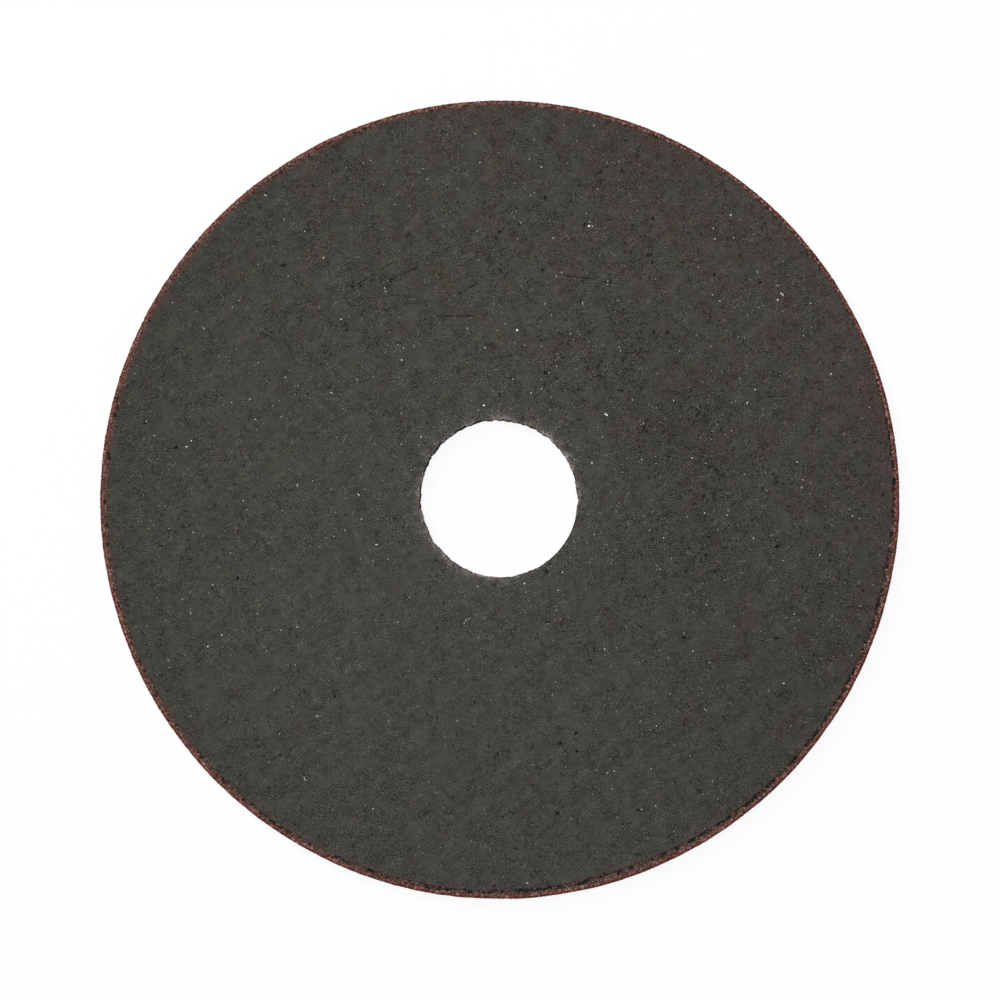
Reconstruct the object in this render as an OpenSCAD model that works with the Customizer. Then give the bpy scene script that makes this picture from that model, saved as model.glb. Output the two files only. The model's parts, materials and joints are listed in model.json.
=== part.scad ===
// Cut-off wheel: a thin disc of resin-bonded abrasive, pressed and cured in one piece.
// A woven facing is pressed into each side and stops short of the edge, so a rim of bare
// abrasive shows round it. The front facing went in a little off centre.
// The wheel lies flat on its back facing. Z is the axis of the bore, and the origin is
// the point where that axis meets the back face.

/* [Wheel] */
// Outside diameter of the wheel
wheel_d = 114.3; // [75:0.1:230]
// Thickness over both facings, where the flanges clamp the wheel
wheel_t = 1.6; // [1.2:0.1:3.2]

/* [Arbor bore] */
// Diameter of the arbor shoulder that locates the wheel
arbor_d = 22.23; // [9.53:0.01:32]
// How much wider the bore is than the arbor shoulder
arbor_clearance = 0.17; // [0.05:0.01:0.4]
// Width and depth of the crumbled break along each edge of the bore
bore_break = 0.15; // [0.05:0.05:0.3]

/* [Facings] */
// Height of each facing above the bare rim
facing_rise = 0.1; // [0.05:0.01:0.15]
// Width of the bare rim round a facing that lies on the wheel's axis
bare_rim_w = 0.95; // [0.75:0.05:3]
// Width over which a facing's edge thins out onto the bare rim
facing_feather = 0.15; // [0.05:0.05:0.3]
// How far the front facing lies off the wheel's axis
front_facing_shift = 0.25; // [0:0.05:0.35]
// Direction of that shift, anticlockwise from X
front_facing_dir = 75; // [0:5:355]

/* [Rim] */
// Radius left on each edge of the bare rim by pressing
rim_round = 0.3; // [0.1:0.05:0.4]

/* [Hidden] */

wheel_r = wheel_d / 2;
bore_r = (arbor_d + arbor_clearance) / 2;
facing_r = wheel_r - bare_rim_w;
// Thickness of the abrasive between the two facings
abrasive_t = wheel_t - 2 * facing_rise;
// How far the bore's cutters run past the faces
cut_past = 1;
// Sides that stand for a full circle
round_fn = 180;

abrasive_colour = [0.46, 0.29, 0.26];
facing_colour = [0.26, 0.26, 0.24];

// Half section of the abrasive, from the axis to the rim, with both rim edges rounded
module abrasive_section() {
    flat_r = wheel_r - rim_round;
    square([flat_r, abrasive_t]);
    translate([0, rim_round])
        square([wheel_r, abrasive_t - 2 * rim_round]);
    for (height = [rim_round, abrasive_t - rim_round])
        translate([flat_r, height])
            circle(r = rim_round, $fn = round_fn);
}

// The pressed abrasive, lying between the planes that its facings stand on
module abrasive() {
    color(abrasive_colour)
        translate([0, 0, facing_rise])
            rotate_extrude($fn = round_fn)
                abrasive_section();
}

// One facing that stands on the plane z = 0, rooted in the abrasive below it
module facing() {
    root = abrasive_t / 2;
    color(facing_colour)
        rotate_extrude($fn = round_fn)
            polygon([
                [0, -root],
                [facing_r, -root],
                [facing_r, 0],
                [facing_r - facing_feather, facing_rise],
                [0, facing_rise],
            ]);
}

// The front facing on top, moved off the axis, and the back facing below, on the axis
module facings() {
    rotate(front_facing_dir)
        translate([front_facing_shift, 0, wheel_t - facing_rise])
            facing();
    translate([0, 0, facing_rise])
        mirror([0, 0, 1])
            facing();
}

// What the bore takes away: the plain hole and a cone at each of its edges
module arbor_bore() {
    translate([0, 0, -cut_past])
        cylinder(h = wheel_t + 2 * cut_past, r = bore_r, $fn = round_fn);
    for (front = [true, false])
        translate([0, 0, front ? wheel_t : 0])
            mirror([0, 0, front ? 0 : 1])
                translate([0, 0, -bore_break])
                    cylinder(
                        h = bore_break + cut_past,
                        r1 = bore_r,
                        r2 = bore_r + bore_break + cut_past,
                        $fn = round_fn
                    );
}

module cutting_disc() {
    difference() {
        union() {
            abrasive();
            facings();
        }
        arbor_bore();
    }
}

cutting_disc();
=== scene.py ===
"""Looks of a cut-off wheel: woven facings, a bare granular rim, a crumbled bore and loose bright grit.

Lengths are millimetres until a mesh is made, which turns them into metres.
"""

import json
import math

import bmesh
import bpy
import numpy as np
from mathutils import Matrix, Vector


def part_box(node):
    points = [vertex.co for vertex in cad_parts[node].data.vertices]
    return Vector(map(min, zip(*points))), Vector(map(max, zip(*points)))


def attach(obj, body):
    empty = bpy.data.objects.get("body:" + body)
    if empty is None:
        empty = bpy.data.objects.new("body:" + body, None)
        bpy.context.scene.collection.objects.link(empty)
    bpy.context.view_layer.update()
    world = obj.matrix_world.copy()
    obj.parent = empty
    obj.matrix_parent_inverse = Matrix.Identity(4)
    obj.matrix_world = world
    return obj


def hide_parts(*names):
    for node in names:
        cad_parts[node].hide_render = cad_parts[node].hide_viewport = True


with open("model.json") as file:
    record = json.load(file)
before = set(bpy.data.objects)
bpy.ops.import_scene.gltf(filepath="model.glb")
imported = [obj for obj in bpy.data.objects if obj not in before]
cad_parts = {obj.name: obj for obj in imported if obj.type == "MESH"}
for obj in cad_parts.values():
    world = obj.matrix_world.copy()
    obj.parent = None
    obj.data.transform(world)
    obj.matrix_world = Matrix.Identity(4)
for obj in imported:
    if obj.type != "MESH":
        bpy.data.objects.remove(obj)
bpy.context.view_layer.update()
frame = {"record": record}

MM = 0.001
TURN = 2 * math.pi

# Sizes that the frame gives
NODE = "cutting_disc"
BODY = "root"
box_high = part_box(NODE)[1]
WHEEL_R = box_high.x / MM
WHEEL_T = box_high.z / MM
MID_Z = WHEEL_T / 2
mounts = {mount["name"]: mount for mount in frame["record"]["mounts"]}
BORE_R = mounts["arbor_bore"]["dims"]["r_mm"]

# Sizes of the facings and edges, as the solid has them
FACING_RISE = 0.1
BARE_RIM_W = 0.95
FACING_FEATHER = 0.15
FRONT_SHIFT = 0.25
FRONT_SHIFT_DIR = math.radians(75)
RIM_ROUND = 0.3
BORE_BREAK = 0.15
FACING_R = WHEEL_R - BARE_RIM_W

# How the photograph shows the wheel: pixels of its frame that are 1000 to a side
IMAGE_PX = 1000
OUTLINE_RADIUS_PX = 399.3
OUTLINE_CENTRE_PX = (499.4, 499.2)
PX_PER_MM = OUTLINE_RADIUS_PX / WHEEL_R


def photo_mm(px_x, px_y):
    """The point of the front face that lies at a pixel of the photograph."""
    centre_x, centre_y = OUTLINE_CENTRE_PX
    return (px_x - centre_x) / PX_PER_MM, (centre_y - px_y) / PX_PER_MM


# Noise and small helpers

NOISE_TABLE = 256
RING_CENTRE = (500, 500)


def smoothstep(value):
    value = np.clip(value, 0.0, 1.0)
    return value * value * (3 - 2 * value)


def bell(gap, half):
    """1 where the gap is 0, falling to 0 over about a half width."""
    return np.exp(-0.5 * (gap / half) ** 2)


def polar(radius, angle, centre=(0.0, 0.0)):
    """The x and y at a radius and an angle round a centre."""
    return centre[0] + radius * np.cos(angle), centre[1] + radius * np.sin(angle)


def noise(x, y, cell, seed):
    """Smooth random values from -1 to 1 that change over about one cell."""
    table = np.random.default_rng(seed).uniform(-1, 1, (NOISE_TABLE, NOISE_TABLE))
    column, row = np.floor(x / cell).astype(int), np.floor(y / cell).astype(int)
    across, up = smoothstep(x / cell - column), smoothstep(y / cell - row)

    def corner(right, above):
        return table[(column + right) % NOISE_TABLE, (row + above) % NOISE_TABLE]

    below = corner(0, 0) * (1 - across) + corner(1, 0) * across
    over = corner(0, 1) * (1 - across) + corner(1, 1) * across
    return below * (1 - up) + over * up


def layers(x, y, seed, *swings):
    """Noises on top of each other, from the swing and the cell of each."""
    return sum(swing * noise(x, y, cell, seed + step) for step, (swing, cell) in enumerate(swings))


def ring_noise(angle, radius, cell, seed):
    """Noise along a closed ring, with no jump where the ring closes."""
    return noise(*polar(radius, angle, RING_CENTRE), cell, seed)


# Meshes made of closed rings of points


class Rings:
    """Closed rings of points, each joined to the next one, and the last to the first.

    Travel from ring to ring keeps the solid on its right.
    """

    def __init__(self):
        self.points = []

    def add(self, radius, height, count, centre=(0.0, 0.0), wander=None):
        """A ring, which may wander in and out by an amount for each angle."""
        angle = TURN * np.arange(count) / count
        x, y = polar(radius + (wander(angle) if wander else 0.0), angle, centre)
        self.points.append(np.stack([x, y, np.full(count, height)], 1))

    def triangles(self):
        """Triangles between each ring and the next."""
        counts = [len(ring) for ring in self.points]
        rings = list(zip(np.cumsum([0, *counts[:-1]]), counts))
        return np.concatenate([band(a, b) for a, b in zip(rings, rings[1:] + rings[:1])])


def band(ring_a, ring_b):
    """Triangles between two rings, each given by its first point and its count of points."""
    first_a, count_a = ring_a
    first_b, count_b = ring_b
    here_a, here_b = np.arange(count_a), np.arange(count_b)
    step_a, step_b = (here_a + 0.5) / count_a, (here_b + 0.5) / count_b
    tip_b = np.searchsorted(step_b, step_a) % count_b
    tip_a = np.searchsorted(step_a, step_b, side="right") % count_a
    from_a = [first_a + here_a, first_b + tip_b, first_a + (here_a + 1) % count_a]
    from_b = [first_b + here_b, first_b + (here_b + 1) % count_b, first_a + tip_a]
    return np.concatenate([np.stack(from_a, 1), np.stack(from_b, 1)])


def make_mesh(name, points, triangles, material):
    mesh = bpy.data.meshes.new(name)
    mesh.from_pydata((points * MM).tolist(), [], triangles.tolist())
    mesh.materials.append(material)
    piece = bpy.data.objects.new(name, mesh)
    bpy.context.scene.collection.objects.link(piece)
    return piece


def read(items, name, width=1, kind=np.float64):
    """A row of values for each of a mesh's points, corners or faces."""
    found = np.empty(len(items) * width, kind)
    items.foreach_get(name, found)
    return found.reshape(-1, width)


def points_of(mesh):
    return read(mesh.vertices, "co", 3) / MM


def set_points(mesh, points):
    mesh.vertices.foreach_set("co", (points * MM).ravel())
    mesh.update()


def set_value(mesh, name, values):
    """One number for each point, which materials read by name."""
    layer = mesh.attributes.new(name, "FLOAT", "POINT")
    layer.data.foreach_set("value", np.asarray(values, np.float32))


# The weave of the facings

WEFT_PITCH = 4.3
WARP_PITCH = 4.25
UNDER_NET_PITCH = 4.15
CLOTH_PITCH_A = 1.6
CLOTH_PITCH_B = 1.84
# Half widths of the strands and the gap in a pair of them, as shares of the pitch
WEFT_HALF_W = 0.125
WARP_HALF_W = 0.06
WARP_PAIR_GAP = 0.37


def comb(x, y, pitch, degrees, width, seed, offset=0.0):
    """Rounded strands, 0 between them and 1 on their backs. Widths are shares of the pitch."""
    turn = math.radians(degrees)
    wander = 0.05 * noise(x, y, 9.0, seed)
    along = (x * math.cos(turn) + y * math.sin(turn)) / pitch + wander + offset
    return bell(along - np.round(along), width)


def wave(x, y, pitch, degrees, seed):
    """A soft even wave at a pitch, from -1 to 1."""
    turn = math.radians(degrees)
    wander = 0.06 * noise(x, y, 7.0, seed)
    return np.cos(TURN * ((x * math.cos(turn) + y * math.sin(turn)) / pitch + wander))


def weave_height(x, y, seed, net_deg, under_deg, cloth_deg):
    """The relief of the strands that show through a facing, about -1 to 1."""
    weft = comb(x, y, WEFT_PITCH, net_deg, WEFT_HALF_W, seed)
    warp = comb(x, y, WARP_PITCH, net_deg + 90, WARP_HALF_W, seed + 1)
    twin = comb(x, y, WARP_PITCH, net_deg + 90, WARP_HALF_W, seed + 1, WARP_PAIR_GAP)
    under = wave(x, y, UNDER_NET_PITCH, under_deg, seed + 2)
    under = under + 0.8 * wave(x, y, UNDER_NET_PITCH, under_deg + 90, seed + 3)
    cloth = wave(x, y, CLOTH_PITCH_A, cloth_deg, seed + 4)
    cloth = cloth + 0.3 * wave(x, y, CLOTH_PITCH_B, cloth_deg + 90, seed + 5)
    uneven = 1 + 0.5 * noise(x, y, 6.0, seed + 6)
    net = 1.1 * (weft - 0.3) + 0.7 * (warp + twin - 0.3)
    return uneven * (0.45 * net + 0.2 * under + 0.22 * cloth)


# Marks on the front face, as pixels of the photograph: the ends of each scratch, and the place of each
# pit and pale grain with its size in mm

SCRATCHES_PX = [
    ((353, 288), (396, 261)), ((390, 281), (419, 267)), ((459, 295), (478, 284)),
    ((438, 317), (476, 317)), ((560, 276), (595, 280)), ((604, 283), (612, 284)),
    ((598, 298), (606, 300)),
]
RED_SCRATCH_PX = ((636, 372), (662, 373))
PITS_PX = [
    ((547, 572), 0.6), ((558, 813), 0.55), ((543, 271), 0.45), ((654, 333), 0.5),
    ((668, 334), 0.4), ((706, 556), 0.4), ((585, 226), 0.4), ((882, 497), 0.4),
    ((497, 239), 0.4), ((353, 287), 0.36), ((391, 282), 0.3), ((461, 294), 0.3),
    ((611, 283), 0.26),
]
PALE_PX = [
    ((782, 295), 0.3), ((778, 301), 0.2), ((606, 415), 0.26), ((731, 216), 0.24),
    ((830, 376), 0.22), ((306, 779), 0.18), ((318, 716), 0.2), ((286, 378), 0.18),
    ((620, 352), 0.18), ((783, 684), 0.17), ((542, 168), 0.16), ((298, 486), 0.17),
]
SCRATCH_HALF_W = 0.065
SCRATCH_DEPTH = 0.05
PIT_DEPTH = 0.12
# How near the marks each round of finer faces begins
REFINE_REACHES = (0.5, 0.3, 0.2)


def segment_distance(x, y, ends_px):
    """Distance from the straight mark between two pixels of the photograph."""
    (ax, ay), (bx, by) = (photo_mm(*end) for end in ends_px)
    length2 = (bx - ax) ** 2 + (by - ay) ** 2
    share = np.clip(((x - ax) * (bx - ax) + (y - ay) * (by - ay)) / length2, 0, 1)
    return np.hypot(x - ax - share * (bx - ax), y - ay - share * (by - ay))


def scratch_depth(x, y):
    """0 off the scratches, 1 along their middles."""
    depth = np.zeros_like(x)
    for number, ends in enumerate(SCRATCHES_PX):
        gap = segment_distance(x, y, ends)
        broken = smoothstep(0.66 + 0.8 * noise(x, y, 0.4, 70 + number))
        depth = np.maximum(depth, broken * bell(gap, SCRATCH_HALF_W))
    return depth


def pit_depth(x, y):
    """0 off the pits, 1 in their middles."""
    depth = np.zeros_like(x)
    for place, size in PITS_PX:
        px, py = photo_mm(*place)
        gap = np.hypot(x - px, y - py) * (1 + 0.3 * noise(x, y, 0.3, 77))
        depth = np.maximum(depth, bell(gap, 0.4 * size))
    return depth


# Edges that wander: the bore, which is slightly oval and crumbled, and the front facing's outer edge

BORE_OVAL = 0.1
BORE_OVAL_DIR = math.radians(-42)
# Half width of the one stretch of the bore that is cut clean, in the direction of the long axis
CLEAN_CUT_HALF = math.radians(21)
# Direction and half width in degrees of the front facing's bulges, and how far they reach out
FRONT_BULGES = [
    (30, 16, 0.18), (120, 12, -0.2), (158, 12, -0.12), (232, 28, 0.12), (293, 13, -0.28),
    (352, 12, -0.15),
]


def around(angle, direction, half):
    """1 in a direction, falling to 0 away from it over about a half width."""
    return bell(np.angle(np.exp(1j * (angle - direction))), half)


def bore_oval(angle):
    """1 along the bore's long axis and -1 across it."""
    return np.cos(2 * (angle - BORE_OVAL_DIR))


def clean_cut(angle):
    """1 in the middle of the bore's clean stretch, 0 away from it."""
    return around(angle, BORE_OVAL_DIR, CLEAN_CUT_HALF)


def bore_wander(angle):
    """How far the bore's wall lies outside its radius."""
    crumbs = 0.1 * ring_noise(angle, BORE_R, 0.9, 61) + 0.07 * ring_noise(angle, BORE_R, 0.42, 62)
    crumbs += 0.06 * ring_noise(angle, BORE_R, 0.23, 64)
    return BORE_OVAL * bore_oval(angle) + crumbs * (1 - 0.75 * clean_cut(angle))


def rim_wander(angle):
    """How far the wheel's outline lies inside its radius, as a number below 0."""
    slow = 0.5 + 0.5 * ring_noise(angle, WHEEL_R, 6.0, 81)
    quick = 0.5 + 0.5 * ring_noise(angle, WHEEL_R, 1.6, 82)
    return -0.06 * slow - 0.06 * quick


def ragged_edge(angle, seed):
    """The tears along a facing's outer edge."""
    coarse = ring_noise(angle, FACING_R, 0.8, seed)
    return 0.09 * coarse + 0.07 * ring_noise(angle, FACING_R, 0.4, seed + 1)


def front_edge(angle):
    bulges = sum(
        height * around(angle, math.radians(degrees), math.radians(half))
        for degrees, half, height in FRONT_BULGES
    )
    return bulges + ragged_edge(angle, 5)


def back_edge(angle):
    return ragged_edge(angle, 25)


FRONT_CENTRE = (FRONT_SHIFT * math.cos(FRONT_SHIFT_DIR), FRONT_SHIFT * math.sin(FRONT_SHIFT_DIR))
# Centre and wandering edge of the front facing and of the back one
FACING_OUTLINES = {True: (FRONT_CENTRE, front_edge), False: ((0.0, 0.0), back_edge)}


def beside_facing(angle, gap, front):
    """Points at a gap outside a facing's edge: x and y."""
    centre, edge = FACING_OUTLINES[front]
    return polar(FACING_R + gap + edge(angle), angle, centre)


def facing_gap(x, y, front):
    """Distance from a facing's outer edge, for points inside it."""
    centre, edge = FACING_OUTLINES[front]
    x, y = x - centre[0], y - centre[1]
    return np.maximum(FACING_R + edge(np.arctan2(y, x)) - np.hypot(x, y), 0)


# Pits in the bare rim, where grains broke out beside a facing, most of them on one side

STRIP_PITS = 850
PIT_SIDE = math.radians(-25)
PIT_RADII = (0.085, 0.2)
PIT_PAIR_GAP = 0.3


def strip_pits(front, seed):
    """The x, y and radius of each pit."""
    rng = np.random.default_rng(seed)
    angle = rng.uniform(0, TURN, STRIP_PITS)
    angle = angle[rng.uniform(size=STRIP_PITS) < 0.55 + 0.4 * np.cos(angle - PIT_SIDE)]
    angle = np.append(angle, angle[::3] + PIT_PAIR_GAP / FACING_R)
    x, y = beside_facing(angle, rng.uniform(-0.06, 0.4, angle.size), front)
    return np.stack([x, y, rng.uniform(*PIT_RADII, angle.size)], 1)


# Pits beside the front facing and beside the back one
PITS = {True: strip_pits(True, 14), False: strip_pits(False, 15)}


def pit_gap(x, y, front):
    """Distance to the edge of the nearest pit beside a facing, below 0 inside it."""
    gap = np.full_like(x, np.inf)
    for px, py, size in PITS[front]:
        gap = np.minimum(gap, np.hypot(x - px, y - py) - size)
    return gap


# Facings: spacing of points, relief, depths below the flange plane, and where the edges' wander fades

FACING_STEPS = {True: 0.375, False: 0.48}
RELIEF = 0.03
LUMPS = 0.012
FACE_CLEAR = 0.045
FACING_ROOT = 0.25
EDGE_STEPS = (0.0, 0.07, 0.16, 0.28, 0.44)
BORE_FADE = 0.5
EDGE_FADE = 1.2
# Radius and number of points of the rings on a facing's hidden underside
UNDERSIDE_RINGS = ((42, 160), (26, 120), (BORE_R + 1, 100))


def facing_radii(inner, outer, step):
    """Radii of the rings over a facing, closer together along both edges."""
    first, last = inner + EDGE_STEPS[-1], outer - EDGE_STEPS[-1]
    between = np.linspace(first, last, round((last - first) / (step * 0.866)) + 1)
    near = [inner + gap for gap in EDGE_STEPS[:-1]]
    far = [outer - gap for gap in reversed(EDGE_STEPS[:-1])]
    return [*near, *between, *far]


def facing_rings(step, centre, edge):
    """A facing as a flat closed slab on the plane z = 0, rooted below it."""
    rings = Rings()
    inner, outer = BORE_R + BORE_BREAK, FACING_R - FACING_FEATHER
    for radius in facing_radii(inner, outer, step):
        share = (radius - inner) / (outer - inner)
        off_axis = (centre[0] * share, centre[1] * share)
        at_bore = math.exp(-(radius - inner) / BORE_FADE)
        at_edge = math.exp(-(outer - radius) / EDGE_FADE)
        count = round(TURN * radius / step * (1 + 2 * at_bore))
        rings.add(radius, 0.0, count, off_axis, lambda a: at_bore * bore_wander(a) + at_edge * edge(a))
    edge_count = round(TURN * FACING_R / step)
    rings.add(FACING_R, -0.75 * FACING_RISE, edge_count, centre, edge)
    rings.add(FACING_R - 0.8, -FACING_ROOT, edge_count // 3, centre)
    for radius, count in UNDERSIDE_RINGS:
        rings.add(radius, -FACING_ROOT, count)
    bore_count = round(TURN * BORE_R / step) * 4
    rings.add(BORE_R + 0.05, -FACING_ROOT, bore_count, wander=bore_wander)
    rings.add(BORE_R, -BORE_BREAK, bore_count, wander=bore_wander)
    rings.add(BORE_R + 0.6 * BORE_BREAK, -0.4 * BORE_BREAK, bore_count, wander=bore_wander)
    return rings


def refine_marks(mesh):
    """Finer faces along the scratches and pits, so that they can be cut as grooves."""
    work = bmesh.new()
    work.from_mesh(mesh)
    for reach in REFINE_REACHES:
        middles = np.array([(e.verts[0].co + e.verts[1].co) / 2 for e in work.edges]) / MM
        x, y = middles[:, 0], middles[:, 1]
        near = middles[:, 2] > -1e-6
        gap = np.min([segment_distance(x, y, ends) for ends in [*SCRATCHES_PX, RED_SCRATCH_PX]], axis=0)
        for place, size in PITS_PX:
            px, py = photo_mm(*place)
            gap = np.minimum(gap, np.hypot(x - px, y - py) - size / 2)
        work.edges.ensure_lookup_table()
        chosen = [work.edges[i] for i in np.flatnonzero(near & (gap < reach))]
        bmesh.ops.subdivide_edges(work, edges=chosen, cuts=1, use_grid_fill=True)
        bmesh.ops.triangulate(work, faces=[f for f in work.faces if len(f.verts) > 3])
    work.to_mesh(mesh)
    work.free()


def bore_gap(x, y):
    """Distance from the bore's crumbled edge."""
    return np.maximum(np.hypot(x, y) - BORE_R - bore_wander(np.arctan2(y, x)), 0)


# Reach of the bore's worn edge, and reach and strength of the faint wear beyond it
WEAR_REACH = 0.36
HALO_REACH = 2.6
HALO = 0.09
# Width of the bore's dark broken lip
LIP_W = 0.1


def bore_wear(x, y):
    """How pale and crumbled the facing is, from 0 on the open face to about 1 at the bore."""
    gap, angle = bore_gap(x, y), np.arctan2(y, x)
    patchy = 0.95 - 0.35 * bore_oval(angle) - 0.5 * clean_cut(angle)
    patchy += layers(x, y, 31, (0.7, 0.6), (0.45, 2.4))
    return np.clip(patchy * np.exp(-gap / WEAR_REACH) + HALO * np.exp(-gap / HALO_REACH), 0, 1.4)


def bore_lip(x, y, seed):
    """The dark broken edge of the bore: 1 on it, 0 inside the facing and where it is whole."""
    crumbled = layers(x, y, seed, (1.3, 0.7), (0.5, 0.3))
    angle = np.arctan2(y, x)
    broken = smoothstep(0.6 + 0.25 * bore_oval(angle) + 0.4 * clean_cut(angle) + crumbled)
    return broken * smoothstep(2.1 - bore_gap(x, y) / LIP_W)


# Where the front face is stained: a pixel of the photograph, a reach in mm and a strength
DARK_STAINS_PX = [
    ((655, 330), 4.5, 0.05), ((690, 420), 6, 0.08), ((708, 535), 5, 0.07),
    ((820, 690), 9, 0.13), ((885, 480), 8, 0.07), ((560, 140), 5, 0.05),
    ((165, 250), 10, 0.05), ((390, 280), 5, 0.04), ((756, 456), 4, -0.06),
    ((669, 275), 4, -0.05), ((340, 640), 16, -0.04), ((520, 340), 8, -0.04),
    ((540, 650), 8, -0.035), ((860, 370), 5, -0.06), ((450, 130), 6, -0.04),
]
STAIN = 0.85
# Painted light: the face is painted lighter toward this direction, by this much at the rim
PAINTED_LIGHT_DIR = (-0.9, -0.1)
PAINTED_LIGHT_SWING = 0.045
# Painted shade: how much darker the outer part of the left half is painted
PAINTED_RIM_SHADE = 0.16


def spread(x, y, spots):
    """The sum of soft spots, each a pixel of the photograph, a reach in mm and a strength."""
    total = np.zeros_like(x)
    for place, reach, strength in spots:
        px, py = photo_mm(*place)
        total += strength * bell(np.hypot(x - px, y - py), reach)
    return total


def stain(x, y):
    """How much darker the front face is than its mean, broadly: painted light and shade across the face
    and at its outer left, and stains.
    """
    # Painted light: the face is painted lighter toward one side and darker toward the other
    dark = -PAINTED_LIGHT_SWING * (x * PAINTED_LIGHT_DIR[0] + y * PAINTED_LIGHT_DIR[1]) / WHEEL_R
    share = np.hypot(x, y) / WHEEL_R
    # Painted shade darkens the outer part of the left half
    dark += PAINTED_RIM_SHADE * share**4 * (0.5 - 0.5 * np.cos(np.arctan2(y, x))) ** 2
    return dark + STAIN * spread(x, y, DARK_STAINS_PX)


def redness(x, y, towards, seed):
    """How red a facing is: in patches, most of them toward one side and the edge, and in spots."""
    share = np.hypot(x, y) / WHEEL_R
    facing_it = 0.5 + 0.5 * np.cos(np.arctan2(y, x) - math.radians(towards))
    broad = -0.75 + 1.5 * share**0.6 * facing_it**1.15 + 0.35 * share**6
    patches = layers(x, y, seed, (0.4, 4.5), (0.55, 2.2), (0.55, 1.2), (0.3, 0.75))
    spots = layers(x, y, seed + 4, (1, 1.6), (0.5, 0.8))
    return 1.12 * np.clip(broad + patches, 0, 1.6) + 0.75 * smoothstep((spots - 0.55) / 0.4)


def yellowness(x, y, towards, seed):
    """Small yellow patches, most of them toward one side: 0 between them and about 1 on them."""
    spots = layers(x, y, seed, (0.6, 1.7), (0.5, 0.8))
    share = np.hypot(x, y) / WHEEL_R
    facing_it = np.cos(np.arctan2(y, x) - math.radians(towards))
    return np.clip(spots - 0.05, 0, 1) * (1.75 + 1.1 * share * facing_it)


# The same for where it is coarser or smoother
COARSE_PX = [
    ((600, 330), 9, 0.2), ((690, 480), 10, 0.45), ((630, 390), 7, 0.2),
    ((860, 620), 8, 0.3), ((330, 620), 14, -0.22), ((330, 440), 10, -0.12),
    ((480, 680), 10, -0.12), ((560, 790), 9, -0.15),
]

# The front facing and the back one, in degrees: directions of the net, of the net under it and of the
# cloth, and the side that the red patches lie toward
FACING_LOOKS = {
    True: dict(weave=(-39.5, 17.4, -58.6), red_side=50, seed=11),
    False: dict(weave=(24.0, 70.0, 5.0), red_side=160, seed=41),
}
# How far round from the red patches the yellow ones lie
YELLOW_TURN = 90
# Half width of the red scratch, softness of the torn edge round a pit, reach of the thinned outer edge
RED_SCRATCH_HALF_W = 0.14
TEAR_SOFT = 0.12
THIN_REACH = 0.45
# Edges of a facing's mesh that turn by more than this stay sharp
SHARP_ANGLE = math.radians(50)


def shape_facing(mesh, front, weave, red_side, seed):
    """Raises the strands, sinks the marks and stores what the material reads."""
    points = points_of(mesh)
    x, y = points[:, 0], points[:, 1]
    on_face = points[:, 2] > -0.5 * BORE_BREAK
    strands = weave_height(x, y, seed, *weave)
    lumps = layers(x, y, seed + 20, (1, 1.1), (0.6, 0.55))
    relief = np.where(on_face, RELIEF * strands + LUMPS * lumps, 0)
    scratch, pits = (scratch_depth(x, y), pit_depth(x, y)) if front else np.zeros((2, x.size))
    relief = relief - np.where(on_face, SCRATCH_DEPTH * scratch + PIT_DEPTH * pits, 0)
    base, up = (WHEEL_T - FACE_CLEAR, 1) if front else (FACE_CLEAR, -1)
    points[:, 2] = base + up * (points[:, 2] + np.minimum(relief, FACE_CLEAR))
    set_points(mesh, points)
    # Painted shade: the facing is painted near black where it borders a pit in the rim
    torn = smoothstep(0.6 - pit_gap(x, y, front) / TEAR_SOFT)
    # Painted shade: points off the open face, on the sloped edges and the bore's chamfer, are painted a
    # little dark
    lip = np.maximum(bore_lip(x, y, seed + 37), np.where(on_face, 0, 0.3))
    set_value(mesh, "strands", strands)
    set_value(mesh, "mark", np.max([scratch, pits, torn, lip], axis=0))
    store_colours(mesh, x, y, front, red_side, seed)
    flat_map(mesh, up)
    mesh.shade_smooth()
    mesh.set_sharp_from_angle(angle=SHARP_ANGLE)


def store_colours(mesh, x, y, front, red_side, seed):
    """Stores how worn, stained and painted with light and shade, red, thin, yellow and coarse a facing
    is at each point.
    """
    red = redness(x, y, red_side, seed + 31)
    if front:
        scratch = bell(segment_distance(x, y, RED_SCRATCH_PX), RED_SCRATCH_HALF_W)
        red = np.maximum(red, 1.6 * scratch)
    set_value(mesh, "red", red)
    set_value(mesh, "wear", bore_wear(x, y))
    set_value(mesh, "stain", stain(x, y) if front else 0.04 * noise(x, y, 14.0, seed + 30))
    set_value(mesh, "thin", 0.75 * np.exp(-facing_gap(x, y, front) / THIN_REACH))
    set_value(mesh, "yellow", yellowness(x, y, red_side + YELLOW_TURN, seed + 38))
    set_value(mesh, "coarse", spread(x, y, COARSE_PX if front else []))


# Size of a facing's underside on its map, where the open face has size 1
UNDERSIDE_SCALE = 0.14


def corner_points(mesh):
    """The number of the point at each corner of each face."""
    return read(mesh.loops, "vertex_index", kind=np.int32)[:, 0]


def set_map(mesh, places):
    """A map for bakes, from a place on it for each corner of each face."""
    layer = mesh.uv_layers.new(name="OFBake")
    layer.uv.foreach_set("vector", places.astype(np.float32).ravel())


def flat_map(mesh, up):
    """A map on which the open face is spread flat, with the hidden underside small in the bore."""
    normals = read(mesh.polygons, "normal", 3)
    sizes = read(mesh.polygons, "loop_total", kind=np.int32)[:, 0]
    hidden = np.repeat(normals[:, 2] * up < -0.1, sizes)
    scale = np.where(hidden, UNDERSIDE_SCALE, 1.0) / (2 * WHEEL_R)
    set_map(mesh, 0.5 + points_of(mesh)[corner_points(mesh), :2] * scale[:, None])


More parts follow.
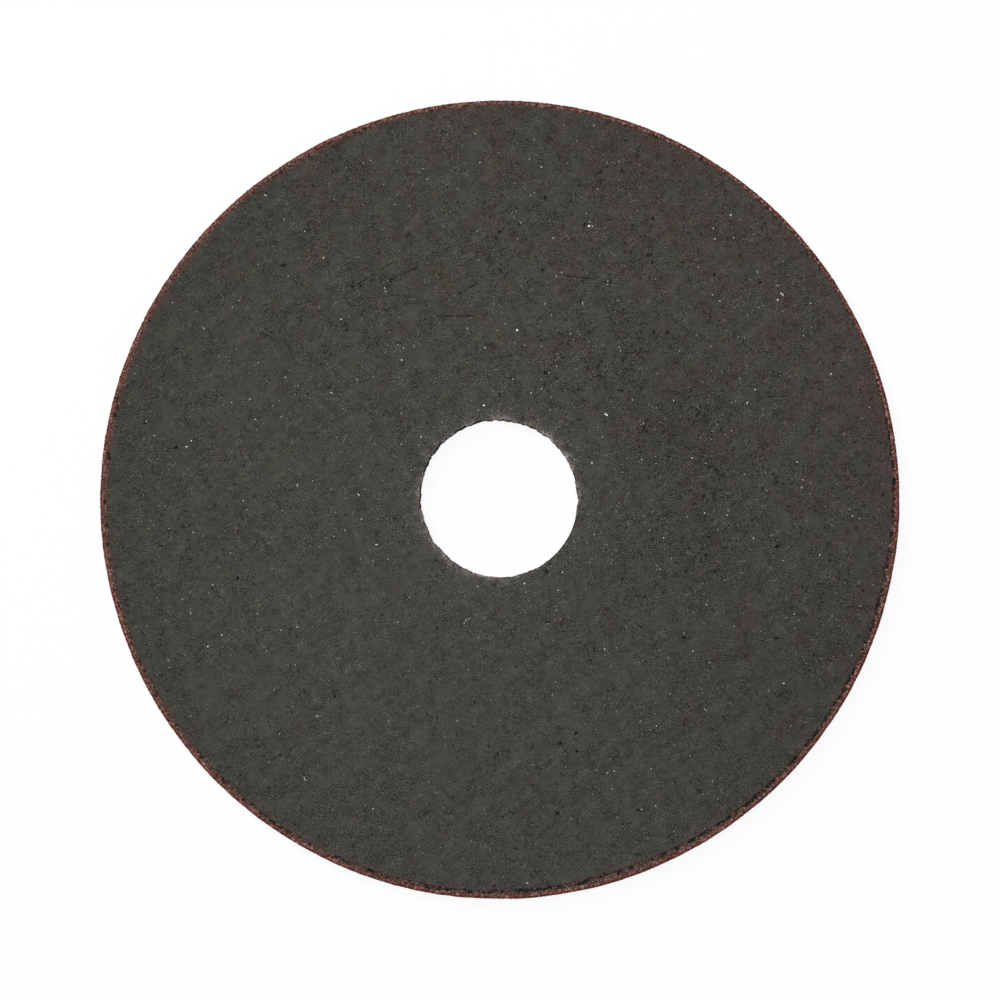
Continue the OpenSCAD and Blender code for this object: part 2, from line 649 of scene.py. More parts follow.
def make_facing(name, material, front):
    """The front or the back facing, which is turned over."""
    rings = facing_rings(FACING_STEPS[front], *FACING_OUTLINES[front])
    triangles = rings.triangles()
    if not front:
        triangles = triangles[:, ::-1]
    piece = make_mesh(name, np.concatenate(rings.points), triangles, material)
    if front:
        refine_marks(piece.data)
    shape_facing(piece.data, front, **FACING_LOOKS[front])
    return piece


# Abrasive body: what shows at the rim and in the bore

RESIN_INSET = 0.07
RIM_STEP = 0.21
RIM_ROWS = 0.13
STRIP_REACH = 1.35
BED_Z = MID_Z - FACING_RISE
RIM_ROUGH = 0.03
NEAR_BORE = 0.6
WALL_INSET = 0.05
WALL_RINGS = 9
# Radius and number of points of the rings hidden under the facings
BURIED_RINGS = ((BORE_R + 1.2, 120), (26, 120), (42, 200))


def rim_path(inset):
    """Radii and heights from the front strip over the wall to the back strip, sunk by an inset."""
    corner_r, corner_z = WHEEL_R - RIM_ROUND, BED_Z - RIM_ROUND
    turn = RIM_ROUND - inset
    front = [(WHEEL_R - STRIP_REACH, MID_Z + BED_Z - inset), (corner_r, MID_Z + BED_Z - inset)]
    arc = [
        (corner_r + turn * math.sin(a), MID_Z + corner_z + turn * math.cos(a))
        for a in np.linspace(0, math.pi / 2, 7)[1:]
    ]
    half = front + arc
    back = [(radius, WHEEL_T - height) for radius, height in reversed(half)]
    return np.array(half + back)


def resample(path, spacing):
    """Points at an even spacing along a path, with the path's direction at each."""
    legs = np.hypot(*np.diff(path, axis=0).T)
    along = np.concatenate([[0], np.cumsum(legs)])
    at = np.linspace(0, along[-1], round(along[-1] / spacing) + 1)
    places = np.stack([np.interp(at, along, path[:, k]) for k in range(2)], 1)
    ahead = np.gradient(places, axis=0)
    return places, ahead / np.linalg.norm(ahead, axis=1, keepdims=True)


def bore_wall(angle):
    """How far the resin of the bore's wall lies outside its radius."""
    return bore_wander(angle) + RIM_ROUGH * ring_noise(angle, BORE_R, 0.3, 63)


def make_abrasive_body(material):
    """The pressed abrasive with its rough rim and bore, hidden under the facings elsewhere."""
    rings = Rings()
    hidden_z = BED_Z - RESIN_INSET
    bore_count = round(TURN * BORE_R / RIM_STEP)
    wall_r = BORE_R + WALL_INSET
    rings.add(wall_r, MID_Z + hidden_z, bore_count, wander=bore_wall)
    for radius, count in BURIED_RINGS:
        rings.add(radius, MID_Z + hidden_z, count)
    rim_count = round(TURN * WHEEL_R / RIM_STEP)
    for radius, height in resample(rim_path(RESIN_INSET), RIM_ROWS)[0]:
        rings.add(radius, height, rim_count, wander=rim_wander)
    for radius, count in reversed(BURIED_RINGS):
        rings.add(radius, MID_Z - hidden_z, count)
    for height in np.linspace(MID_Z - hidden_z, MID_Z + hidden_z, WALL_RINGS)[:-1]:
        rings.add(wall_r, height, bore_count, wander=bore_wall)
    piece = make_mesh("abrasive_body", np.concatenate(rings.points), rings.triangles(), material)
    roughen(piece.data)
    return piece


def edge_share(radius):
    """How red the bare rim is: 0 on the flat strips and 1 on the rounded edges and the wall."""
    return smoothstep((radius - (WHEEL_R - 0.62)) / 0.34)


def roughen(mesh):
    """Pulls the rim and the bore wall in and out like broken resin, and stores how red it is and where
    it is painted dark as shade.
    """
    points = points_of(mesh)
    x, y, z = points.T
    radius, angle = np.hypot(x, y), np.arctan2(y, x)
    rough = ring_noise(angle, radius + 3 * z, 0.4, 51)
    rough = rough + 0.7 * ring_noise(angle, radius - 2 * z, 0.9, 52)
    near_rim = radius > WHEEL_R - STRIP_REACH
    near_bore = radius < BORE_R + NEAR_BORE
    step = RIM_ROUGH * rough * (near_rim + near_bore)
    front = z > MID_Z
    gap = np.where(front, *(pit_gap(x, y, side) for side in (True, False)))
    pit = smoothstep(0.7 - gap / TEAR_SOFT) * near_rim
    points[:, :2] += (step / radius)[:, None] * points[:, :2]
    points[:, 2] += 0.5 * RIM_ROUGH * ring_noise(angle, radius, 0.5, 53) * near_rim
    points[:, 2] -= PIT_DEPTH * pit * np.where(front, 1, -1)
    set_points(mesh, points)
    set_value(mesh, "red", edge_share(radius) * near_rim)
    # Painted shade: the resin is painted near black in the rim's pits and all over the bore's wall
    set_value(mesh, "pit", np.maximum(pit, near_bore))
    mesh.shade_smooth()


# Grit: many small broken crystals in one mesh

GOLDEN = (1 + math.sqrt(5)) / 2
CRYSTAL = np.array(
    [np.roll((0, s, t * GOLDEN), by) for by in (0, 2, 1) for s in (-1, 1) for t in (-1, 1)]
) / math.hypot(1, GOLDEN)


def crystal_faces():
    """The triangles of CRYSTAL, turned outwards."""
    work = bmesh.new()
    for corner in CRYSTAL:
        work.verts.new(corner)
    bmesh.ops.convex_hull(work, input=work.verts)
    work.verts.index_update()
    bmesh.ops.recalc_face_normals(work, faces=work.faces)
    faces = np.array([[v.index for v in face.verts] for face in work.faces])
    work.free()
    return faces


def random_turns(count, rng):
    """Random rotation matrices."""
    q = rng.normal(size=(count, 4))
    w, x, y, z = (q / np.linalg.norm(q, axis=1, keepdims=True)).T
    rows = [
        [1 - 2 * (y * y + z * z), 2 * (x * y - z * w), 2 * (x * z + y * w)],
        [2 * (x * y + z * w), 1 - 2 * (x * x + z * z), 2 * (y * z - x * w)],
        [2 * (x * z - y * w), 2 * (y * z + x * w), 1 - 2 * (x * x + y * y)],
    ]
    return np.moveaxis(np.array(rows), -1, 0)


def make_grit(name, material, rng, centre, size, tone, red=0.0, flat=1.0, stretch=None):
    """Broken crystals of random shape in one mesh, drawn out into splinters if a stretch is given."""
    count = len(centre)
    corners = CRYSTAL[None] * rng.uniform(0.78, 1.12, (count, len(CRYSTAL), 1))
    corners = corners * rng.uniform(0.75, 1.25, (count, 1, 3))
    corners = np.einsum("nij,nkj->nki", random_turns(count, rng), corners)
    cells = corners[..., :2].copy()
    corners[..., 2] *= flat
    if stretch is not None:
        corners = drawn_out(corners, stretch, rng)
    corners = corners * size[:, None, None] + centre[:, None, :]
    corners = within_wheel(corners.reshape(-1, 3))
    faces = crystal_faces()[None] + (np.arange(count) * len(CRYSTAL))[:, None, None]
    piece = make_mesh(name, corners, faces.reshape(-1, 3), material)
    set_value(piece.data, "tone", np.repeat(tone, len(CRYSTAL)))
    set_value(piece.data, "red", np.repeat(np.broadcast_to(red, count), len(CRYSTAL)))
    cell_map(piece.data, cells)
    return piece


def drawn_out(corners, stretch, rng):
    """Crystals drawn out into splinters that lie flat, each in its own direction."""
    turn = rng.uniform(0, TURN, (len(corners), 1))
    along, across = corners[..., 0] * stretch[:, None], corners[..., 1]
    x = along * np.cos(turn) - across * np.sin(turn)
    y = along * np.sin(turn) + across * np.cos(turn)
    return np.stack([x, y, corners[..., 2]], -1)


def within_wheel(points):
    """Presses points back to the wheel's outline and faces, as its mould did."""
    x, y = points[:, 0], points[:, 1]
    limit = WHEEL_R + rim_wander(np.arctan2(y, x))
    points[:, :2] *= np.minimum(1.0, limit / np.hypot(x, y))[:, None]
    points[:, 2] = np.clip(points[:, 2], 0.0, WHEEL_T)
    return points


def cell_map(mesh, places):
    """A map on which each crystal has a cell of its own."""
    count = len(places)
    side = math.ceil(math.sqrt(count))
    number = np.arange(count)
    middles = np.stack([number % side, number // side], 1) + 0.5
    spread = places / np.abs(places).max(axis=(1, 2), keepdims=True)
    found = ((middles[:, None, :] + 0.42 * spread) / side).reshape(-1, 2)
    set_map(mesh, found[corner_points(mesh)])


# Grains of the rim, in rows
STRIP_GRAIN = 0.18
STRIP_ROW = 0.24
STRIP_ROWS = 6
WALL_GRAIN = 0.23
WALL_ROW = 0.36
# Share of its radius that a grain keeps clear of a pit
PIT_CLEAR = 0.35
# Mean and spread of the tone of a strip's grains, and the lightest one
STRIP_TONE = (0.55, 0.23)
STRIP_TONE_MAX = 0.9


def grain_sizes(mean, count, rng):
    """Random radii about a mean."""
    return mean * np.clip(rng.lognormal(0, 0.22, count), 0.6, 1.5)


def ring_angles(row, spacing, rng):
    """Angles round the rim at a spacing, staggered from row to row and loosely kept."""
    count = round(TURN * WHEEL_R / spacing)
    return TURN * (np.arange(count) + 0.5 * (row % 2) + rng.uniform(-0.35, 0.35, count)) / count


def strip_grains(rng):
    """Grains of both flat strips in rows along the facings, apart from those that broke out."""
    rows = []
    for front, row in [(front, row) for front in (True, False) for row in range(STRIP_ROWS)]:
        angle = ring_angles(row, 1.2 * STRIP_ROW, rng)
        gap = 0.03 + STRIP_ROW * row + rng.uniform(-0.1, 0.1, angle.size)
        x, y = beside_facing(angle, gap, front)
        size = grain_sizes(STRIP_GRAIN, angle.size, rng)
        height = BED_Z - size * rng.uniform(0.6, 1.0, angle.size)
        z = MID_Z + np.where(front, height, -height)
        left = pit_gap(x, y, front) > PIT_CLEAR * size
        left = left & (np.hypot(x, y) < WHEEL_R - RIM_ROUND)
        tone = np.minimum(rng.normal(*STRIP_TONE, angle.size), STRIP_TONE_MAX)
        rows.append(np.stack([x, y, z, size, tone], 1)[left])
    return np.concatenate(rows)


def wall_grains(rng):
    """Grains of the rounded edges and of the wall between them, painted lighter where they face up and
    darker on the wall, as painted shade.
    """
    path, ahead = resample(rim_path(0.0)[1:-1], WALL_ROW)
    rows = []
    for row, ((radius, height), (dr, dz)) in enumerate(zip(path, ahead)):
        angle = ring_angles(row, WALL_ROW, rng)
        size = grain_sizes(WALL_GRAIN, angle.size, rng)
        sunk = size * rng.uniform(0.68, 1.0, angle.size)
        slip = rng.uniform(-0.14, 0.14, angle.size)
        reach = radius + slip * dr + sunk * dz + rim_wander(angle)
        z = height + slip * dz - sunk * dr
        painted_wall_shade = smoothstep((radius - WHEEL_R + 0.2) / 0.1)
        # Painted shade: the wall's grains are painted darker than those that face up
        tone = rng.normal(0.72 - 0.48 * painted_wall_shade, 0.22, angle.size)
        rows.append(np.stack([*polar(reach, angle), z, size, tone], 1))
    return np.concatenate(rows)


def make_rim_grit(name, material, seed, find):
    """Grains that stand out of the bare rim: find gives the x, y, z, size and tone of each."""
    rng = np.random.default_rng(seed)
    x, y, z, size, tone = find(rng).T
    centre, red = np.stack([x, y, z], 1), edge_share(np.hypot(x, y))
    return make_grit(name, material, rng, centre, size, np.clip(tone, 0, 1), red)


# Grains of the bore's wall, in rows
BORE_GRAIN = 0.14
BORE_ROWS = 6
BORE_GRAIN_GAP = 0.42
BORE_ROW_CLEAR = 0.3


def make_bore_grit(material):
    """Grains and crumbs that stand out of the bore's wall and broken edges."""
    rng = np.random.default_rng(4)
    rows = np.linspace(BORE_ROW_CLEAR, WHEEL_T - BORE_ROW_CLEAR, BORE_ROWS)
    count = round(TURN * BORE_R / BORE_GRAIN_GAP)
    angle = rng.uniform(0, TURN, (len(rows), count)).ravel()
    size = BORE_GRAIN * np.clip(rng.lognormal(0, 0.3, angle.size), 0.5, 1.7)
    reach = BORE_R + bore_wander(angle) + size * rng.uniform(0.62, 1.05, angle.size)
    z = np.repeat(rows, count) + rng.uniform(-0.1, 0.1, angle.size)
    z = np.clip(z, size, WHEEL_T - size)
    centre = np.stack([*polar(reach, angle), z], 1)
    tone = np.clip(rng.normal(0.5, 0.25, angle.size) - 0.12 * bore_oval(angle), 0, 1)
    return make_grit("bore_grit", material, rng, centre, size, tone)


# How many grains lie in a facing and round its bore, crumbs in patches at the bore's edge, and fibres
FACE_SPECKS = 2700
BORE_SPECKS = 300
BORE_CRUMBS = 150
CRUMB_PATCHES = 14
FIBRES = 170
# Radius of a grain, its gaps from the facing's edges, and how flat it lies
SPECK = 0.075
SPECK_CLEAR_BORE = 0.8
SPECK_CLEAR_EDGE = 0.9
SPECK_FLAT = 0.4
BORE_SPECK_REACH = 4.0
FIBRE_HALF_W = 0.032
FIBRE_RADII = (15, 54)
# How long a grain and a fibre are for their width
SPECK_STRETCH = (1, 2.2)
FIBRE_STRETCH = (10, 26)
# Splinters that make up one of the pale grains
PALE_CLUSTER = 3


def open_specks(rng):
    """Bright grains over the whole face and round the bore, the brightest tones standing partly for
    painted glints of shiny facets: x, y, size and tone of each.
    """
    inner, outer = BORE_R + SPECK_CLEAR_BORE, FACING_R - SPECK_CLEAR_EDGE
    open_r = np.sqrt(rng.uniform(inner**2, outer**2, FACE_SPECKS))
    near_r = inner + rng.exponential(BORE_SPECK_REACH, BORE_SPECKS)
    radius = np.concatenate([open_r, near_r])
    angle = rng.uniform(0, TURN, radius.size)
    size = np.clip(SPECK * rng.lognormal(0, 0.3, radius.size), 0.045, 0.17)
    tone = np.clip(rng.exponential(0.23, radius.size), 0.04, 1)
    return np.stack([*polar(radius, angle), size, tone], 1)


def bore_crumbs(rng):
    """Pale crumbs along the bore's edge, which lie in patches."""
    middles = rng.uniform(0, TURN, CRUMB_PATCHES)
    angle = rng.choice(middles, BORE_CRUMBS) + rng.normal(0, 0.09, BORE_CRUMBS)
    radius = BORE_R + 0.1 + bore_wander(angle) + rng.exponential(0.22, BORE_CRUMBS)
    size = rng.uniform(0.05, 0.11, BORE_CRUMBS)
    tone = rng.uniform(0.0, 0.3, BORE_CRUMBS)
    return np.stack([*polar(radius, angle), size, tone], 1)


def pale_splinters(rng):
    """The large pale grains, each as a few splinters close together."""
    places = np.repeat([photo_mm(*place) for place, reach in PALE_PX], PALE_CLUSTER, axis=0)
    reach = np.repeat([reach for place, reach in PALE_PX], PALE_CLUSTER)
    places += 0.75 * reach[:, None] * rng.uniform(-1, 1, places.shape)
    size = 0.5 * reach * rng.uniform(0.7, 1.2, reach.size)
    tone = rng.uniform(0.4, 0.95, reach.size)
    return np.column_stack([places, size, tone])


def fibres(rng):
    """Faint glass fibres that lie bare in the face."""
    inner, outer = FIBRE_RADII
    radius = np.sqrt(rng.uniform(inner**2, outer**2, FIBRES))
    angle = rng.uniform(0, TURN, FIBRES)
    tone = rng.uniform(0.0, 0.15, FIBRES)
    return np.stack([*polar(radius, angle), np.full(FIBRES, FIBRE_HALF_W), tone], 1)


def make_face_grit(name, material, seed, front):
    """Bright grains that lie bare in a facing, more of them where it is coarse, and faint fibres."""
    rng = np.random.default_rng(seed)
    found = np.concatenate([open_specks(rng), bore_crumbs(rng)])
    if front:
        kept = rng.uniform(-0.45, 0.6, len(found)) < 0.25 + spread(*found[:, :2].T, COARSE_PX)
        found = np.concatenate([found[kept], pale_splinters(rng)])
    stretch = rng.uniform(*SPECK_STRETCH, len(found))
    found[:, 2] /= np.sqrt(stretch)
    stretch = np.append(stretch, rng.uniform(*FIBRE_STRETCH, FIBRES))
    x, y, size, tone = np.concatenate([found, fibres(rng)]).T
    z = np.full(x.size, WHEEL_T - FACE_CLEAR if front else FACE_CLEAR)
    centre = np.stack([x, y, z], 1)
    return make_grit(name, material, rng, centre, size, tone, flat=SPECK_FLAT, stretch=stretch)


# Materials


class Nodes:
    """A material's node tree, with short ways to add and join nodes."""

    def __init__(self, name):
        self.material = bpy.data.materials.new(name)
        self.material.use_nodes = True
        self.tree = self.material.node_tree
        self.shader = self.tree.nodes["Principled BSDF"]

    def add(self, kind, **settings):
        node = self.tree.nodes.new(kind)
        for name, value in settings.items():
            setattr(node, name, value)
        return node

    def join(self, source, target):
        self.tree.links.new(source, target)

    def feed(self, target, value):
        """Sets a socket to a number or colour, or joins another socket to it."""
        if isinstance(value, bpy.types.NodeSocket):
            self.join(value, target)
        else:
            target.default_value = value

    def into(self, name, value):
        """Sets one of the shader's sockets, or joins another socket to it."""
        self.feed(self.shader.inputs[name], value)

    def math(self, operation, a, b=0.0, clamp=False):
        node = self.add("ShaderNodeMath", operation=operation, use_clamp=clamp)
        self.feed(node.inputs[0], a)
        self.feed(node.inputs[1], b)
        return node.outputs[0]

    def attribute(self, name):
        return self.add("ShaderNodeAttribute", attribute_name=name).outputs["Fac"]

    def pattern(self, kind, period, **settings):
        """A texture over the object whose pattern repeats over about a period in mm."""
        node = self.add(kind, **settings)
        self.join(self.add("ShaderNodeTexCoord").outputs["Object"], node.inputs["Vector"])
        node.inputs["Scale"].default_value = 1 / (period * MM)
        return node

    def noise(self, period, detail=0.0, rough=0.5):
        """Noise from 0 to 1 that repeats over about a period in mm."""
        node = self.pattern("ShaderNodeTexNoise", period)
        node.inputs["Detail"].default_value = detail
        node.inputs["Roughness"].default_value = rough
        return node.outputs["Fac"]

    def centred(self, period, swing, detail=0.0):
        """Noise about 0 that swings this far either way."""
        return self.math("MULTIPLY", self.math("SUBTRACT", self.noise(period, detail), 0.5), swing)

    def pits(self, spacing, chance, core, rim):
        """Uneven spots in some cells of a flat pattern, 1 inside the core and 0 outside the rim."""
        node = self.pattern("ShaderNodeTexVoronoi", spacing, voronoi_dimensions="2D")
        split = self.add("ShaderNodeSeparateColor")
        self.join(node.outputs["Color"], split.inputs[0])
        chosen = self.math("LESS_THAN", split.outputs[0], chance)
        uneven = self.math("ADD", self.centred(0.3, 3.2, 1.0), 1.0)
        away = self.math("MULTIPLY", node.outputs["Distance"], uneven)
        spot = self.span(away, core / spacing, rim / spacing, 1.0, 0.0)
        return self.math("MULTIPLY", chosen, spot)

    def cracks(self, period, half):
        """Thin winding lines in some places: 1 along their middles, 0 off them."""
        away = self.math("ABSOLUTE", self.centred(period, 2.0, 2.0))
        some = self.span(self.noise(1.7), 0.48, 0.6)
        return self.math("MULTIPLY", self.span(away, 0.0, half, 1.0, 0.0), some)

    def span(self, value, low, high, to_low=0.0, to_high=1.0):
        """Maps low to high onto to_low to to_high, and holds it there outside."""
        node = self.add("ShaderNodeMapRange", interpolation_type="SMOOTHSTEP")
        for socket, number in zip(node.inputs, (value, low, high, to_low, to_high)):
            self.feed(socket, number)
        return node.outputs["Result"]

    def mix(self, share, a, b, blend="MIX", clamp=True):
        node = self.add("ShaderNodeMix", data_type="RGBA", blend_type=blend, clamp_factor=clamp)
        for number, value in ((0, share), (6, a), (7, b)):
            self.feed(node.inputs[number], value)
        return node.outputs[2]

    def ramp(self, value, stops):
        """Colours picked by a value, from places and colours along a ramp."""
        node = self.add("ShaderNodeValToRGB")
        elements = node.color_ramp.elements
        for place, _ in stops[2:]:
            elements.new(place)
        for element, (place, colour) in zip(elements, stops):
            element.position = place
            element.color = (*colour, 1)
        self.join(value, node.inputs["Fac"])
        return node.outputs["Color"]

    def bump(self, height, depth):
        """A bump whose height of 1 stands a depth in mm."""
        node = self.add("ShaderNodeBump")
        node.inputs["Distance"].default_value = depth * MM
        self.join(height, node.inputs["Height"])
        self.into("Normal", node.outputs["Normal"])


FACING_GREY = (0.0562, 0.0575, 0.0491, 1)
FACING_RED = (0.0598, 0.0522, 0.0450, 1)
THIN_RED = (0.085, 0.052, 0.041, 1)
BORE_PALE = (0.255, 0.224, 0.211, 1)
BORE_BROWN = (0.150, 0.112, 0.098, 1)
# Near black painted into hollows as painted shade: scratches, pits, torn edges and the bore
PAINTED_HOLLOW_SHADE = (0.005, 0.0045, 0.004, 1)
# Share of that painted shade in a mark or a pit
PAINTED_HOLLOW_SHARE = 0.97
# What a yellow patch adds to the red, the green and the blue
YELLOW_SWING = (0.02, 0.045, -0.05)
# Period in mm, swing and detail of the sand, the finer sand, the lumps and the mottle
SAND = (0.34, 0.36)
FINE_SAND = (0.14, 2.3)
LUMP_SHADE = (0.85, 0.48, 1.0)
MOTTLE = (2.4, 0.27, 1.0)
# How much lighter the strands are and how much darker the cracks, with their period and half width
STRAND_LIGHT = 0.148
CRACK_DARK = 0.52
CRACKS = (0.8, 0.11)
# Spacing of the larger pits, the share of places that have one, and the radii of its core and rim
LARGE_PITS = (2.2, 0.016, 0.13, 0.25)


def facing_material():
    """Dark woven facing with sandy grain, faint strands and pits.

    Red-brown abrasive shows through it in patches, and it is worn pale at the bore.
    """
    n = Nodes("facing_weave")
    grain = n.centred(*SAND)
    fine = n.centred(*FINE_SAND)
    lumps = n.centred(*LUMP_SHADE)
    mottle = n.centred(*MOTTLE)
    coarse = n.attribute("coarse")
    patchy = n.span(n.noise(2.8), 0.35, 0.62, 0.6, 1.25)
    patchy = n.math("MULTIPLY", patchy, n.math("ADD", n.math("MULTIPLY", coarse, 0.35), 1.0))
    sand = n.math("MULTIPLY", n.math("ADD", grain, fine), patchy)
    light = n.math("ADD", sand, n.math("ADD", lumps, mottle))
    light = n.math("ADD", light, n.math("MULTIPLY", n.attribute("strands"), STRAND_LIGHT))
    light = n.math("SUBTRACT", light, n.math("MULTIPLY", n.cracks(*CRACKS), CRACK_DARK))
    # Painted light and shade: this darkening holds a painted lean across the front face and painted
    # shade at its outer left, besides stains
    light = n.math("EXPONENT", n.math("SUBTRACT", light, n.attribute("stain")))
    crowded = n.span(n.noise(3.4), 0.36, 0.62, 0.0, 0.065)
    crowded = n.math("ADD", crowded, n.math("MULTIPLY", coarse, 0.075))
    crumbs = n.math("SUBTRACT", n.noise(0.46, 4.0, 0.75), crowded)
    crumbs = n.span(crumbs, 0.262, 0.366, 0.9, 0.0)
    large = n.pits(*LARGE_PITS)
    pit = n.math("MAXIMUM", n.math("MAXIMUM", crumbs, large), n.attribute("mark"))
    colour = n.mix(n.attribute("red"), FACING_GREY, FACING_RED, clamp=False)
    tint = n.add("ShaderNodeCombineColor")
    for socket, swing in zip(tint.inputs, YELLOW_SWING):
        n.join(n.math("ADD", n.math("MULTIPLY", n.attribute("yellow"), swing), 1.0), socket)
    colour = n.mix(1.0, colour, tint.outputs[0], "MULTIPLY")
    colour = n.mix(n.attribute("thin"), colour, THIN_RED)
    worn = n.mix(n.span(n.noise(1.3), 0.42, 0.56), BORE_BROWN, BORE_PALE)
    crumbled = n.span(n.noise(0.3, 1.0), 0.36, 0.62, 0.45, 1.5)
    colour = n.mix(n.math("MULTIPLY", n.attribute("wear"), crumbled), colour, worn, clamp=False)
    colour = n.mix(1.0, colour, light, "MULTIPLY")
    # Painted shade: scratches, pits, crumbs and torn edges are painted near black in their hollows
    colour = n.mix(n.math("MULTIPLY", pit, PAINTED_HOLLOW_SHARE), colour, PAINTED_HOLLOW_SHADE)
    n.into("Base Color", colour)
    n.into("Roughness", n.span(sand, -0.4, 0.4, 0.88, 0.66))
    n.into("Specular IOR Level", 0.15)
    n.bump(n.math("SUBTRACT", n.math("ADD", sand, lumps), pit), 0.045)
    return n.material


def resin_material():
    """Resin between the grains: painted near black in the pits and the bore as painted shade, dark red
    on the rounded edges and the wall.
    """
    n = Nodes("red_resin")
    patch = n.noise(0.7, 2.0)
    strip = n.ramp(patch, [(0.35, (0.034, 0.015, 0.011)), (0.7, (0.080, 0.038, 0.029))])
    # Painted shade in the pits and the bore
    strip = n.mix(n.attribute("pit"), strip, PAINTED_HOLLOW_SHADE)
    edge = n.ramp(patch, [(0.35, (0.06, 0.008, 0.005)), (0.7, (0.14, 0.022, 0.014))])
    n.into("Base Color", n.mix(n.attribute("red"), strip, edge))
    n.into("Roughness", n.span(n.noise(0.25), 0.3, 0.7, 0.55, 0.85))
    n.into("Specular IOR Level", 0.25)
    n.bump(n.noise(0.2, 2.0), 0.06)
    return n.material


# How far the roughness of a crystal swings either way
ROUGH_SWING = 0.12


def grit_material(name, stops, roughness, red_stops=None):
    """Broken crystals whose tone picks their colour, from other stops where they are red."""
    n = Nodes(name)
    tone = n.math("ADD", n.attribute("tone"), n.centred(0.16, 0.5, 1.0), clamp=True)
    colour = n.ramp(tone, stops)
    if red_stops:
        colour = n.mix(n.attribute("red"), colour, n.ramp(tone, red_stops))
    n.into("Base Color", colour)
    rough = n.span(n.noise(0.12), 0.3, 0.7, roughness - ROUGH_SWING, roughness + ROUGH_SWING)
    n.into("Roughness", rough)
    n.into("Specular IOR Level", 0.3)
    n.bump(n.noise(0.1, 1.0), 0.02)
    return n.material


# Colours of the grains, from dark to light
STRIP_STOPS = [
    (0.0, (0.034, 0.015, 0.011)),
    (0.5, (0.128, 0.064, 0.049)),
    (0.8, (0.19, 0.108, 0.086)),
    (1.0, (0.31, 0.20, 0.165)),
]
EDGE_STOPS = [
    (0.0, (0.050, 0.006, 0.004)),
    (0.5, (0.185, 0.034, 0.021)),
    (0.8, (0.29, 0.088, 0.060)),
    (1.0, (0.40, 0.20, 0.15)),
]
# Painted glints: the lightest of these stand in part for glints of shiny grain facets
SPECK_AND_GLINT_STOPS = [
    (0.0, (0.13, 0.13, 0.118)),
    (0.4, (0.40, 0.40, 0.37)),
    (1.0, (0.95, 0.95, 0.92)),
]
BORE_STOPS = [
    (0.0, (0.03, 0.018, 0.016)),
    (0.5, (0.11, 0.07, 0.063)),
    (1.0, (0.42, 0.34, 0.31)),
]

# Stage: floor, light and camera

CAMERA_DISTANCE = 1.2
CAMERA_TILT = math.radians(3.5)
CAMERA_LEAN = math.radians(-55)
# Small corrections that bring the outline onto the photograph's: its size, and its place in mm
LENS_TRIM = 1.0029
AIM = (0.139, -0.216)
SENSOR = 36.0
CLIP_NEAR, CLIP_FAR = 0.05, 30
FLOOR_HALF = 10.0
FLOOR_WHITE = (0.98, 0.98, 0.98, 1)
# Share of the floor's look that is plain white, where the rest is lit
FLOOR_GLOW = 0.87
WORLD_STRENGTH = 0.2
# Place, side and power of each lamp, in metres and watts
LAMPS = {
    "key": ((-0.75, 0.75, 0.6), 0.5, 7.9),
    "overhead": ((-0.1, 0.1, 1.6), 1.0, 15.2),
}


def floor_material():
    """White to the camera and in reflections, still darkened where the wheel keeps the light off it."""
    n = Nodes("white_floor")
    path = n.add("ShaderNodeLightPath")
    seen = n.math("MAXIMUM", path.outputs["Is Camera Ray"], path.outputs["Is Glossy Ray"])
    glow = n.add("ShaderNodeEmission")
    both = n.add("ShaderNodeMixShader")
    n.join(n.math("MULTIPLY", seen, FLOOR_GLOW), both.inputs["Fac"])
    n.into("Base Color", FLOOR_WHITE)
    n.into("Roughness", 0.9)
    n.into("Specular IOR Level", 0.1)
    n.join(n.shader.outputs[0], both.inputs[1])
    n.join(glow.outputs[0], both.inputs[2])
    n.join(both.outputs[0], n.tree.nodes["Material Output"].inputs["Surface"])
    return n.material


def make_floor():
    corners = FLOOR_HALF / MM * np.array([(-1, -1, 0), (1, -1, 0), (1, 1, 0), (-1, 1, 0)])
    floor = make_mesh("floor", corners, np.array([(0, 1, 2), (0, 2, 3)]), floor_material())


def add_area(name, place, size, power):
    """A soft square lamp that faces the wheel."""
    lamp = bpy.data.lights.new(name, "AREA")
    lamp.size = size
    lamp.energy = power
    thing = bpy.data.objects.new(name, lamp)
    thing.location = place
    thing.rotation_euler = (-Vector(place)).to_track_quat("-Z", "Y").to_euler()
    bpy.context.scene.collection.objects.link(thing)


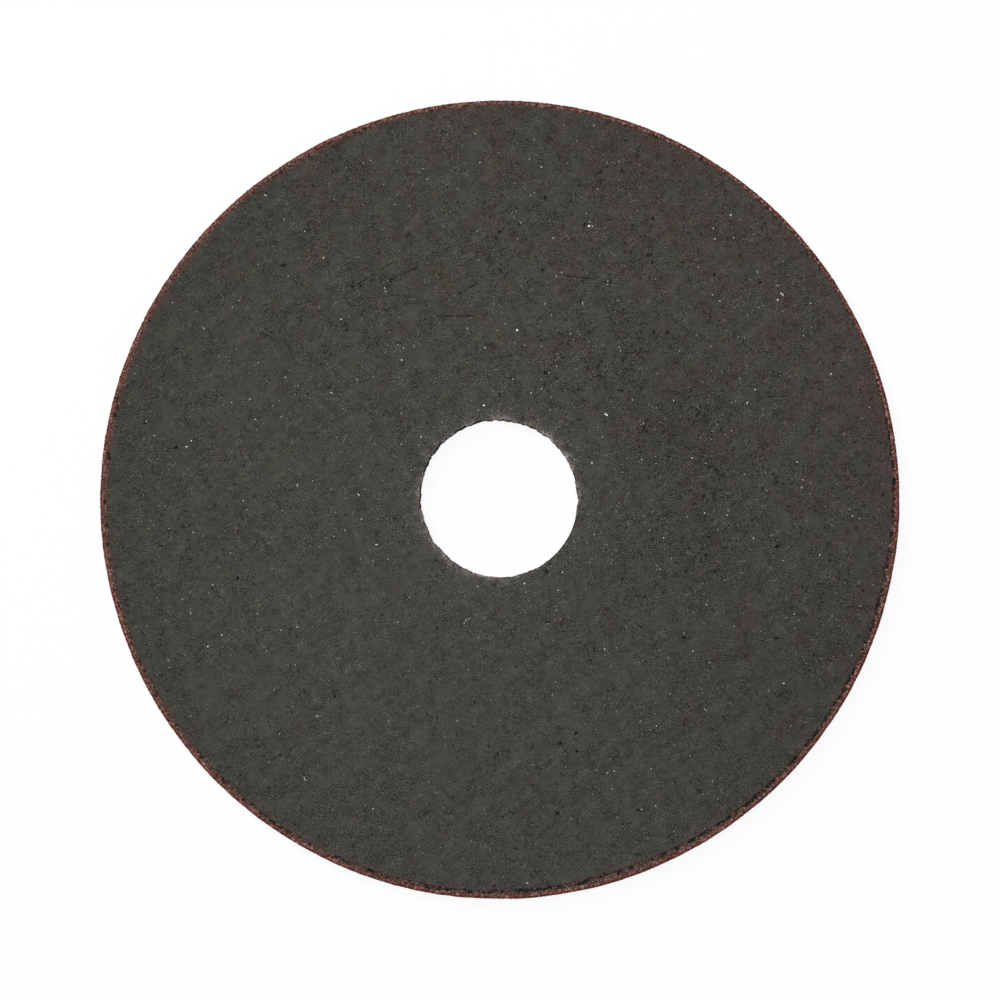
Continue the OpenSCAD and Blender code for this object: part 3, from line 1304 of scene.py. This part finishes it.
def make_light():
    world = bpy.data.worlds.new("studio")
    world.use_nodes = True
    background = world.node_tree.nodes["Background"]
    background.inputs["Color"].default_value = (1, 1, 1, 1)
    background.inputs["Strength"].default_value = WORLD_STRENGTH
    bpy.context.scene.world = world
    for name, (place, size, power) in LAMPS.items():
        add_area(name, place, size, power)


def make_camera():
    """A long lens almost straight above the front face, with +Y up in the picture."""
    data = bpy.data.cameras.new("camera")
    camera = bpy.data.objects.new("camera", data)
    bpy.context.scene.collection.objects.link(camera)
    target = Vector((AIM[0] * MM, AIM[1] * MM, WHEEL_T * MM))
    lean = Vector((math.cos(CAMERA_LEAN), math.sin(CAMERA_LEAN), 0))
    back = lean * math.sin(CAMERA_TILT) + Vector((0, 0, math.cos(CAMERA_TILT)))
    camera.location = target + back * CAMERA_DISTANCE
    right = Vector((0, 1, 0)).cross(back).normalized()
    camera.rotation_euler = Matrix((right, back.cross(right), back)).transposed().to_euler()
    data.sensor_width = SENSOR
    data.lens = LENS_TRIM * SENSOR * CAMERA_DISTANCE * PX_PER_MM / (IMAGE_PX * MM)
    data.clip_start, data.clip_end = CLIP_NEAR, CLIP_FAR
    bpy.context.scene.camera = camera


# Assembly

facing = facing_material()
resin = resin_material()
rim_grains = grit_material("rim_grains", STRIP_STOPS, roughness=0.6, red_stops=EDGE_STOPS)
bore_grains = grit_material("bore_grains", BORE_STOPS, roughness=0.65)
pale_grains = grit_material("pale_grains", SPECK_AND_GLINT_STOPS, roughness=0.4)

dressed = {
    "woven_facing": [
        make_facing("front_facing", facing, front=True),
        make_facing("back_facing", facing, front=False),
        make_face_grit("front_grit", pale_grains, seed=8, front=True),
        make_face_grit("back_grit", pale_grains, seed=9, front=False),
    ],
    "bonded_abrasive": [
        make_abrasive_body(resin),
        make_rim_grit("strip_grit", rim_grains, seed=3, find=strip_grains),
        make_rim_grit("wall_grit", rim_grains, seed=6, find=wall_grains),
        make_bore_grit(bore_grains),
    ],
}
for slot, pieces in dressed.items():
    for piece in pieces:
        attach(piece, BODY)
        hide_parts(NODE)

make_floor()
make_light()
make_camera()
bpy.context.scene.view_settings.view_transform = "Standard"
